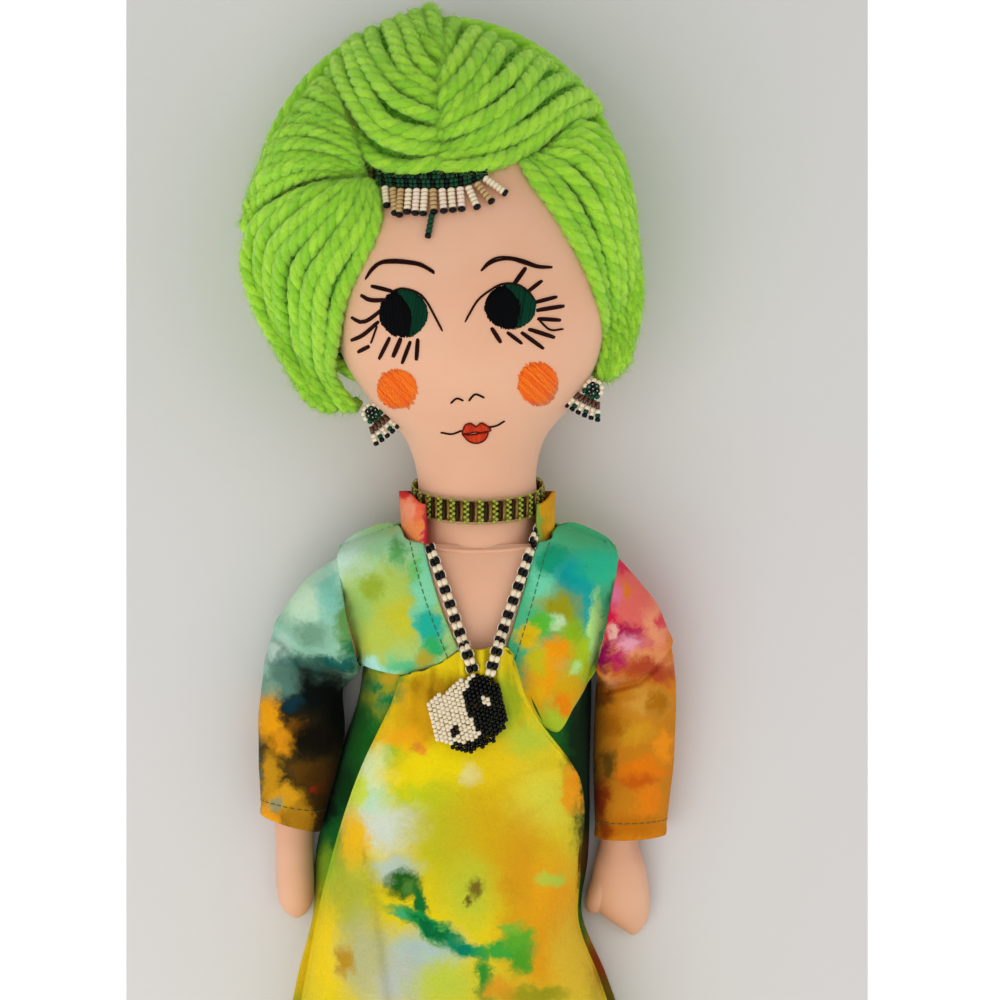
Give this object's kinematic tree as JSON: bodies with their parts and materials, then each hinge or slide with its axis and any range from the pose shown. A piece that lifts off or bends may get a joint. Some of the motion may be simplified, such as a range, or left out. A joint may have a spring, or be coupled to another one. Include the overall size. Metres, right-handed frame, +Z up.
{
  "type": "cloth doll",
  "caption": "Stuffed cloth doll on its back: thick yarn hair, stitched face, beadwork jewellery and a dyed cotton tunic; head, arms, elbows and legs move at their seams.",
  "frame": {"origin": "middle of the doll's outline on the surface it lies on", "axes": "+X to the viewer's right, +Y from the feet to the crown, +Z up out of the face"},
  "size_m": [0.184, 0.5432, 0.0879],
  "materials": {
    "skin_cotton": "plain weave cotton, matte",
    "filling": "loose fibre",
    "lime_yarn": "thick fuzzy plied yarn",
    "eye_thread": "satin stitch",
    "cheek_thread": "satin stitch",
    "lip_thread": "satin stitch",
    "dark_beads": "gloss seed beads",
    "cream_beads": "gloss seed beads, dark tips",
    "earring_beads": "gloss seed beads, cream and dark green",
    "choker_beads": "gloss bugle beads with lime thread",
    "rope_beads": "gloss seed beads in cream and black rows",
    "pendant_cream": "gloss woven seed beads",
    "pendant_black": "gloss woven seed beads",
    "collar_cotton": "dyed cotton",
    "yoke_cotton": "dyed cotton",
    "sleeve_left_cotton": "dyed cotton",
    "sleeve_right_cotton": "dyed cotton",
    "skirt_cotton": "dyed cotton",
    "skirt_back_cotton": "dyed cotton"
  },
  "bodies": {
    "torso": {"torso": "skin_cotton", "torso_filling": "filling", "collar": "collar_cotton", "yoke_front_left": "yoke_cotton", "yoke_front_right": "yoke_cotton", "yoke_back": "yoke_cotton", "skirt_front": "skirt_cotton", "skirt_back": "skirt_back_cotton", "necklace_back": "rope_beads"},
    "head": {"head": "skin_cotton", "head_filling": "filling", "hair_crown_left": "lime_yarn", "hair_crown_right": "lime_yarn", "hair_left_upper": "lime_yarn", "hair_left_lower": "lime_yarn", "hair_right": "lime_yarn", "hair_back": "lime_yarn", "eye_left": "eye_thread", "eye_right": "eye_thread", "cheek_left": "cheek_thread", "cheek_right": "cheek_thread", "lips": "lip_thread", "headband": "dark_beads", "choker": "choker_beads"},
    "fringe": {"fringe_strand_1": "cream_beads", "fringe_strand_2": "cream_beads", "fringe_strand_3": "cream_beads", "fringe_strand_4": "cream_beads", "fringe_strand_5": "cream_beads", "fringe_strand_6": "cream_beads", "fringe_strand_7": "cream_beads", "fringe_strand_8": "cream_beads", "fringe_strand_9": "cream_beads", "fringe_strand_10": "cream_beads", "fringe_strand_11": "cream_beads", "fringe_strand_12": "cream_beads", "fringe_strand_13": "cream_beads", "fringe_drop": "dark_beads"},
    "earring_left": {"earring_left": "earring_beads"},
    "earring_right": {"earring_right": "earring_beads"},
    "necklace": {"necklace_left": "rope_beads", "necklace_right": "rope_beads", "pendant_light": "pendant_cream", "pendant_dark": "pendant_black"},
    "upper_arm_left": {"upper_arm_left": "skin_cotton", "sleeve_left": "sleeve_left_cotton"},
    "forearm_left": {"forearm_left": "skin_cotton"},
    "upper_arm_right": {"upper_arm_right": "skin_cotton", "sleeve_right": "sleeve_right_cotton"},
    "forearm_right": {"forearm_right": "skin_cotton"},
    "leg_left": {"leg_left": "skin_cotton"},
    "leg_right": {"leg_right": "skin_cotton"}
  },
  "joints": [
    {"name": "head_turn", "type": "hinge", "parent": "torso", "child": "head", "pos_m": [0, 0.067, 0.029], "axis": [0, 1, 0], "range_deg": [-25, 25]},
    {"name": "fringe_lift", "type": "hinge", "parent": "head", "child": "fringe", "pos_m": [-0.015, 0.201, 0.084], "axis": [-1, 0, 0], "range_deg": [0, 40]},
    {"name": "earring_left_swing", "type": "hinge", "parent": "head", "child": "earring_left", "pos_m": [-0.0408, 0.121, 0.047], "axis": [0, 0, -1], "range_deg": [0, 45]},
    {"name": "earring_right_swing", "type": "hinge", "parent": "head", "child": "earring_right", "pos_m": [0.0414, 0.1324, 0.048], "axis": [0, 0, 1], "range_deg": [0, 45]},
    {"name": "necklace_lift", "type": "hinge", "parent": "torso", "child": "necklace", "pos_m": [0, 0.068, 0.056], "axis": [-1, 0, 0], "range_deg": [0, 90]},
    {"name": "shoulder_left", "type": "hinge", "parent": "torso", "child": "upper_arm_left", "pos_m": [-0.04875, 0.044, 0.027], "axis": [-0.9801, -0.1984, 0], "range_deg": [-30, 150]},
    {"name": "elbow_left", "type": "hinge", "parent": "upper_arm_left", "child": "forearm_left", "pos_m": [-0.068, 0.0145, 0.016], "axis": [-0.9872, 0.1592, 0], "range_deg": [0, 75], "deforming": ["sleeve_left"]},
    {"name": "shoulder_right", "type": "hinge", "parent": "torso", "child": "upper_arm_right", "pos_m": [0.04875, 0.044, 0.027], "axis": [-0.9801, 0.1984, 0], "range_deg": [-30, 150]},
    {"name": "elbow_right", "type": "hinge", "parent": "upper_arm_right", "child": "forearm_right", "pos_m": [0.0607, 0.0155, 0.016], "axis": [-0.9869, -0.1613, 0], "range_deg": [0, 75], "deforming": ["sleeve_right"]},
    {"name": "hip_left", "type": "hinge", "parent": "torso", "child": "leg_left", "pos_m": [-0.0186, -0.062, 0.019], "axis": [-1, 0, 0], "range_deg": [0, 80], "deforming": ["skirt_front"]},
    {"name": "hip_right", "type": "hinge", "parent": "torso", "child": "leg_right", "pos_m": [0.0186, -0.062, 0.019], "axis": [-1, 0, 0], "range_deg": [0, 80]}
  ],
  "couplings": [
    {"joint": "hip_right", "follows": "hip_left", "ratio": 1}
  ]
}
